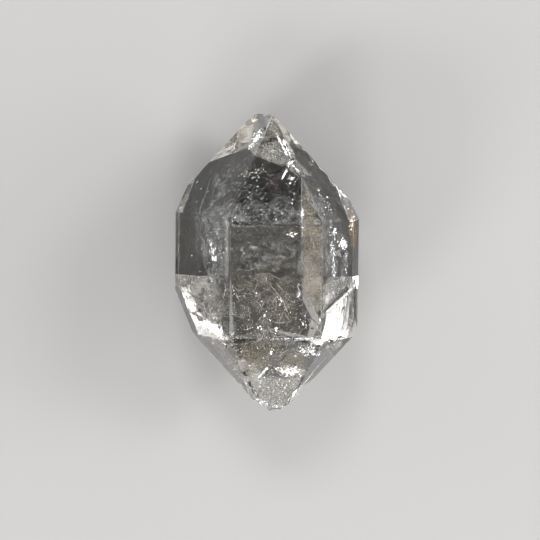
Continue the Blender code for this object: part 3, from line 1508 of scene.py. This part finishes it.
LEFT_FLANK = {
    "haze": Sheet(
        Finish.MILKY, ((190, 196), (228, 206), (229, 276), (228, 336), (218, 316), (208, 282), (194, 236)),
        share=(0.15, 0.15, 0.15, 0.12, 0.12, 0.15, 0.12), cover=(0.1, 0.3, 0.8, 1.0, 1.0, 0.8, 0.4),
        wave=0.12, fade=0.4, strength=0.65,
    ),
    "pale shoulder": Sheet(
        Finish.CREAM, ((178, 210), (188, 187), (193, 184), (183, 211)), share=0.1, wave=0.02, fade=0.1,
        strength=0.6,
    ),
    # Painted shade: a dark film that darkens the clear window of the left flank.
    "painted shade in the clear window": Sheet(
        Finish.PAINTED_SHADE, ((177.5, 213), (199, 214), (199, 275), (177.5, 275)), share=0.1, wave=0.02,
        fade=0.05, strength=0.3,
    ),
    "long bent thread": Streak(
        ((211, 177), (206, 193), (200, 209), (198.5, 222), (197, 237), (198, 250)), 0.03, girth=0.035,
        strength=0.7
    ),
    "line along the near side": Streak(((196, 338), (210, 352), (230, 373), (250, 395)), 0.04, girth=0.035),
    "bright flecks": Glints((213, 254), (3, 13), (0.05, 0.2), 48, (0.06, 0.16), turn=-12, stray=0.05),
    "flecks beside the middle": Glints(
        (227, 249), (1.6, 8), (0.05, 0.2), 20, (0.05, 0.12), turn=-20, stray=0.04
    ),
    "glitter": Glints((213, 240), (16, 46), (0.05, 0.4), 190, (0.03, 0.09), stray=0.07),
    "dust": Grains((213, 240), (16, 42), (0.1, 0.5), 240, (0.02, 0.07), clump=-0.1),
    "low fleck": Glints((225, 294), (1.5, 4), (0.1, 0.3), 12, (0.04, 0.1)),
    "threads": Wisps((210, 250), (20, 60), (0.1, 0.5), 130, (0.2, 1.1), turn=-70, clump=-0.3),
    "low threads": Wisps((215, 315), (18, 30), (0.1, 0.5), 60, (0.2, 0.9), turn=60),
    "streak by the bright facet": Streak(
        ((203, 303), (207, 315), (213, 322)), 0.1, girth=0.06, strength=0.9
    ),
}

RIGHT_FLANK = {
    "haze": Sheet(
        Finish.MILKY, ((324, 226), (346, 232), (348, 284), (330, 300), (322, 296)),
        share=(0.3, 0.25, 0.3, 0.4, 0.4), cover=(0.3, 0.5, 1.0, 1.0, 1.0), wave=0.15, fade=0.8,
        strength=0.9,
    ),
    "tan strip": Sheet(
        Finish.TAN, ((302.5, 227), (321.5, 226), (321, 300), (318, 314), (302.5, 296)), share=0.05,
        wave=0.02, fade=0.08, strength=0.9,
    ),
    "iron stain": Sheet(
        Finish.RUST, ((349, 212), (355, 210), (357, 226), (356.5, 246), (350, 250), (349, 230)),
        share=(0.05, 0.05, 0.05, 0.05, 0.08, 0.08), wave=0.05, fade=0.25, strength=0.4,
    ),
    "gold in the stain": Glints(
        (352, 224), (3, 12), (0.02, 0.15), 50, (0.05, 0.11), finish=Finish.GOLD, stray=0.07
    ),
    "gold above the stain": Glints(
        (347, 205), (4, 8), (0.02, 0.15), 16, (0.04, 0.1), finish=Finish.GOLD, stray=0.07
    ),
    "far fleck": Glints((335, 231), (1.2, 3.6), (0.03, 0.08), 16, (0.07, 0.14)),
    "largest fleck": Glints((343, 244.5), (4, 4.4), (0.03, 0.08), 40, (0.08, 0.16), stray=0.04),
    "streaky flecks": Glints((333, 255), (2.6, 28), (0.03, 0.12), 110, (0.05, 0.12), turn=-4, stray=0.07),
    "glitter beside them": Glints((346, 258), (4, 24), (0.05, 0.4), 60, (0.04, 0.12), stray=0.07),
    "dust": Grains((336, 250), (16, 36), (0.05, 0.4), 240, (0.02, 0.07)),
    "dark speck by the largest fleck": Grains(
        (342.5, 253.5), (2.2, 1.5), (0.015, 0.03), 16, (0.09, 0.14), finish=Finish.DARK
    ),
    "dark specks above the crack": Grains(
        (348, 286), (2, 3), (0.03, 0.05), 7, (0.05, 0.1), finish=Finish.DARK
    ),
    "glitter above the crack": Glints((342, 280), (5, 5), (0.05, 0.3), 26, (0.04, 0.1), stray=0.06),
    "threads": Wisps((336, 250), (16, 40), (0.1, 0.4), 90, (0.2, 0.9), turn=80),
    "threads in the strip": Wisps((312, 270), (12, 40), (0.1, 0.4), 50, (0.2, 0.9), turn=-60),
    # Painted shade: a dark film that darkens the quartz over the crack.
    "shade over the crack": Sheet(
        Finish.PAINTED_SHADE, ((348, 285), (338, 292), (330, 300), (324, 308), (322.8, 314.6), (328, 310.6),
        (336, 303.2), (344, 296), (349, 290)), share=0.045, wave=0.05, fade=0.12,
    ),
    "wide part of the crack": Streak(
        ((346.5, 287), (342, 292.5), (338.5, 296.5), (335, 300.5)), 0.025, finish=Finish.DARK, girth=0.11
    ),
    "narrow part of the crack": Streak(
        ((334, 301.5), (329, 306.5), (323, 313)), 0.025, finish=Finish.DARK, girth=0.07
    ),
    "dark grains at the crack's end": Grains(
        (346.5, 292), (2, 6), (0.015, 0.03), 26, (0.06, 0.13), finish=Finish.DARK, turn=12
    ),
    "dark grains above the crack": Grains(
        (339, 290), (8, 4), (0.015, 0.03), 30, (0.05, 0.11), finish=Finish.DARK, turn=-40
    ),
    "rusty rim of the crack": Sheet(
        Finish.RUST, ((347.8, 291), (342.5, 297.4), (334.5, 304.6), (327.5, 311.3), (323.2, 315.4),
        (323.6, 319), (329, 314.6), (336, 308.2), (344, 301), (348.6, 294)), share=0.05, wave=0.05,
        wave_length=0.5, fade=0.02,
    ),
    "dusty patch above the crack": Sheet(
        Finish.DUSTY, ((322, 303), (323, 285), (334, 279), (356.5, 277), (356.5, 285), (348, 289),
        (334, 301), (323, 313.5)), share=0.04, wave=0.02, fade=0.08, strength=0.55,
    ),
    # Painted shade: a dark film that darkens the quartz above the crack.
    "shade above the crack": Sheet(
        Finish.PAINTED_SHADE, ((336, 280), (356.5, 277), (356.5, 288), (348, 291), (334, 303), (323, 314),
        (326, 290)), share=0.06, cover=(1.0, 1.0, 1.0, 1.0, 1.0, 0.5, 0.3), wave=0.02, fade=0.08,
        strength=0.7,
    ),
    "tan striations": Sheet(
        Finish.TAN, ((348, 292), (357, 284), (357, 322), (352, 333), (345, 336), (349, 312)), share=0.06,
        wave=0.02, fade=0.2,
    ),
    # Painted shade: a dark film that dims the bright facet over the striations.
    "shade over the striations": Sheet(
        Finish.PAINTED_SHADE, ((343, 300), (349, 291), (357, 284), (357, 320), (351, 331), (341, 334)), share=0.05,
        cover=(1.0, 1.0, 1.0, 0.6, 0.4, 0.4), wave=0.02, strength=0.75,
    ),
    "dark hair in the strip": Streak(
        ((308, 316), (314, 321), (321, 327)), 0.05, finish=Finish.DARK, girth=0.05
    ),
    "specks beside the hair": Grains(
        (311.7, 328), (1.4, 1.4), (0.05, 0.1), 6, (0.06, 0.1), finish=Finish.DARK
    ),
    "first rusty line": Streak(
        ((342, 304), (338, 316), (335, 330), (331, 338)), 0.05, finish=Finish.RUST, girth=0.06
    ),
    "second rusty line": Streak(((345, 300), (342, 312), (337, 326)), 0.05, finish=Finish.RUST, girth=0.06),
    "first dark line": Streak(
        ((348, 291), (347, 302), (345, 318), (341, 331)), 0.04, finish=Finish.DARK, girth=0.055
    ),
    "second dark line": Streak(((352, 288), (352, 300), (350, 318)), 0.04, finish=Finish.DARK, girth=0.055),
    "third dark line": Streak(((344, 296), (342, 310), (338, 326)), 0.04, finish=Finish.DARK, girth=0.045),
    "fourth dark line": Streak(((355, 292), (355, 308), (353, 322)), 0.04, finish=Finish.DARK),
    "dark threads": Wisps(
        (346, 308), (8, 24), (0.03, 0.12), 130, (0.6, 2.4), finish=Finish.DARK, turn=98, girth=0.032
    ),
    "dark border of the facet": Streak(
        ((326, 341), (334, 341), (345, 339.5)), 0.04, finish=Finish.DARK, girth=0.11
    ),
    "rusty threads": Wisps(
        (345, 308), (8, 26), (0.03, 0.2), 90, (0.4, 1.8), finish=Finish.RUST, turn=98, girth=0.035
    ),
}

NEAR_POINT = {
    "granular growth": Sheet(
        Finish.DUSTY, ((262, 376), (279, 377.5), (306, 376), (298, 388), (284, 404), (262, 402),
        (253, 390), (256, 379)), share=(0.1, 0.1, 0.08, 0.1, 0.15, 0.15, 0.15, 0.15),
        cover=(0.7, 1.0, 1.0, 1.0, 1.0, 1.0, 0.7, 0.7), wave_length=0.8, fade=0.2, strength=0.95,
    ),
    "bright patch": Sheet(
        Finish.DUSTY, ((279.5, 366.5), (291, 365.3), (307, 368.5), (305, 376), (292, 378.5), (281, 377)),
        share=(0.05, 0.05, 0.04, 0.05, 0.05, 0.06), wave=0.03, fade=0.06,
    ),
    "white in the bright patch": Glints(
        (292, 371.5), (11, 4), (0.03, 0.06), 110, (0.08, 0.17), turn=6, stray=0.06
    ),
    "cream in the bright patch": Glints(
        (290, 371), (11, 4), (0.03, 0.06), 60, (0.06, 0.13), finish=Finish.GOLD, turn=6, stray=0.06
    ),
    # Painted shade: a dark film that darkens the clear quartz under the right facet.
    "shade under the right facet": Sheet(
        Finish.PAINTED_SHADE, ((311, 342.5), (330, 341.5), (323, 351), (314, 350)), share=0.05, wave=0.02,
        fade=0.06, strength=0.8,
    ),
    "olive patch": Sheet(
        Finish.TAN, ((284, 354), (294, 352), (305, 356), (310, 362), (307, 368), (291, 365), (280, 366),
        (279.5, 360)), share=(0.06, 0.06, 0.06, 0.05, 0.05, 0.06, 0.06, 0.06), wave=0.05, fade=0.12,
        strength=0.9,
    ),
    "mauve patch": Sheet(
        Finish.TAN, ((240, 341), (262, 340), (284, 341), (279, 352), (270, 362), (262, 371), (249, 376.5),
        (245, 367), (239, 352)), share=(0.12, 0.12, 0.1, 0.1, 0.1, 0.1, 0.12, 0.12, 0.12), fade=0.35,
        strength=0.8,
    ),
    "deep cream film": Sheet(
        Finish.CREAM, ((236, 342), (270, 342), (318, 342), (300, 370), (262, 380), (240, 366)),
        share=(0.3, 0.35, 0.3, 0.3, 0.4, 0.35), wave=0.15, fade=0.7, strength=0.6,
    ),
    "cream film on the left": Sheet(
        Finish.CREAM, ((206, 338), (232, 342), (262, 392), (252, 396), (226, 364)),
        share=(0.3, 0.3, 0.3, 0.2, 0.2), strength=0.7,
    ),
    "pale line at the edge": Streak(
        ((283, 339.3), (294, 341), (306, 339.7), (320, 338.6)), 0.05, girth=0.05
    ),
    "glitter on the pale line": Glints((302, 340), (18, 0.4), (0.03, 0.05), 60, (0.05, 0.1), stray=0.06),
    "brown line": Streak(
        ((284.6, 337), (293, 338.2), (301.7, 336.5)), 0.05, finish=Finish.DARK, girth=0.055
    ),
    "white crumbs": Glints((308, 351), (9, 5.5), (0.03, 0.15), 110, (0.06, 0.14), stray=0.08),
    "tumbled crumbs": Plates((308, 351), (8, 5.5), (0.04, 0.2), 40, (0.05, 0.14)),
    "hollow crumbs": Plates((308, 351), (8, 5.5), (0.04, 0.2), 40, (0.06, 0.16), finish=Finish.AIR),
    "dark crumbs": Grains((308, 351), (9, 5.5), (0.03, 0.1), 24, (0.04, 0.09), finish=Finish.DARK),
    "slanting white line": Streak(((268.6, 366.5), (264, 372), (258.5, 378)), 0.05, girth=0.06),
    "glitter on the white line": Glints(
        (263.8, 371.8), (0.4, 6.5), (0.03, 0.06), 60, (0.06, 0.12), turn=42
    ),
    "arc": Streak(((245, 367), (247, 374), (252, 377), (258, 375)), 0.05, girth=0.05),
    "upright fleck": Glints((271, 353), (0.6, 3), (0.04, 0.08), 12, (0.06, 0.12)),
    "dark slanting line": Streak(
        ((290, 351), (285, 356), (280, 361.5)), 0.06, finish=Finish.DARK, girth=0.06
    ),
    "its faint end": Streak(((276, 362), (270, 369), (262, 378)), 0.08, finish=Finish.DARK, girth=0.035),
    "dark hole on the left": Grains(
        (226, 346.5), (2.6, 1.6), (0.04, 0.1), 10, (0.07, 0.14), finish=Finish.DARK
    ),
    "glitter at that hole": Glints((225, 344), (4, 3), (0.04, 0.15), 22, (0.05, 0.12), stray=0.07),
    "black hole": Streak(
        ((241.5, 372), (244.5, 373.5), (247, 375.5)), 0.05, finish=Finish.DARK, girth=0.15
    ),
    "first slit": Streak(((247, 381), (249.5, 384.5), (252.5, 388)), 0.05, finish=Finish.DARK, girth=0.09),
    "second slit": Streak(((251, 389), (253, 391.5), (255.5, 394.5)), 0.05, finish=Finish.DARK, girth=0.08),
    "white line left of the slits": Streak(((244, 379), (248, 388), (255, 396)), 0.05, girth=0.06),
    "white line right of the slits": Streak(((250, 381), (254, 386.5), (258, 392)), 0.05, girth=0.05),
    "bright line along the right side": Streak(
        ((327, 357), (318, 366), (304, 384.5), (291, 400)), 0.04, girth=0.06
    ),
    "glitter on the bright line": Glints(
        (306, 381), (0.4, 18), (0.03, 0.06), 60, (0.05, 0.1), turn=39, stray=0.06
    ),
    "dark line beside it": Streak(
        ((324, 353), (311, 369), (299, 385), (288, 399)), 0.04, finish=Finish.DARK, girth=0.05
    ),
    "glitter in the growth": Glints((272, 386), (26, 22), (0.02, 0.2), 320, (0.03, 0.1), stray=0.1),
    "dust in the growth": Grains((272, 386), (26, 22), (0.03, 0.5), 300, (0.02, 0.07), clump=-0.4),
    "left part of the chipped rim": Glints(
        (262, 402), (12, 2.4), (0.02, 0.15), 110, (0.05, 0.13), turn=40, stray=0.1
    ),
    "right part of the chipped rim": Glints(
        (277, 407), (12, 2.4), (0.02, 0.15), 90, (0.05, 0.12), stray=0.1
    ),
    "dust at the rim": Grains((268, 404), (16, 6), (0.02, 0.4), 120, (0.03, 0.09)),
    "dark grains in the growth": Grains(
        (272, 388), (22, 20), (0.1, 0.5), 50, (0.03, 0.06), finish=Finish.DARK
    ),
    "glitter at the edge": Glints((262, 329), (46, 5), (0.05, 0.3), 30, (0.03, 0.09), stray=0.1),
    "glitter in the mauve patch": Glints((262, 354), (44, 20), (0.05, 0.4), 80, (0.025, 0.08), stray=0.07),
    "dust in the mauve patch": Grains((262, 354), (44, 20), (0.05, 0.5), 160, (0.02, 0.06), clump=-0.1),
    "threads": Wisps((264, 350), (44, 24), (0.05, 0.45), 160, (0.3, 1.2), turn=-45, clump=-0.3),
    "threads by the slits": Wisps((250, 376), (16, 20), (0.05, 0.4), 70, (0.2, 0.9), turn=50),
    "dark threads": Wisps(
        (262, 350), (44, 22), (0.05, 0.3), 50, (0.3, 1.4), finish=Finish.DARK, turn=50, girth=0.03
    ),
    "dark threads in the growth": Wisps(
        (262, 380), (26, 24), (0.03, 0.3), 30, (0.2, 0.7), finish=Finish.DARK, turn=-40, girth=0.025
    ),
    "thick threads": Wisps((264, 352), (44, 22), (0.03, 0.3), 110, (0.3, 1.4), turn=-45, girth=0.03),
    "gold dust": Grains((300, 372), (12, 8), (0.1, 0.3), 14, (0.03, 0.07), finish=Finish.GOLD),
}

REGIONS = (
    Region("far_point", seed=11, items=FAR_POINT),
    Region("upper_part", seed=12, items=UPPER_PART),
    Region("middle", seed=13, items=MIDDLE),
    Region("left_flank", seed=14, items=LEFT_FLANK),
    Region("right_flank", seed=15, items=RIGHT_FLANK),
    Region("near_point", seed=16, items=NEAR_POINT),
)


def main() -> None:
    """Build every piece and report it."""
    logging.basicConfig(level=logging.INFO)
    camera = PhotoCamera()
    camera.build()
    sight = Sight(camera)
    CrystalBody().build(sight)
    finishes = Finishes()
    for region in REGIONS:
        region.build(sight, finishes)
    Studio().build()


if __name__ == "__main__":
    main()
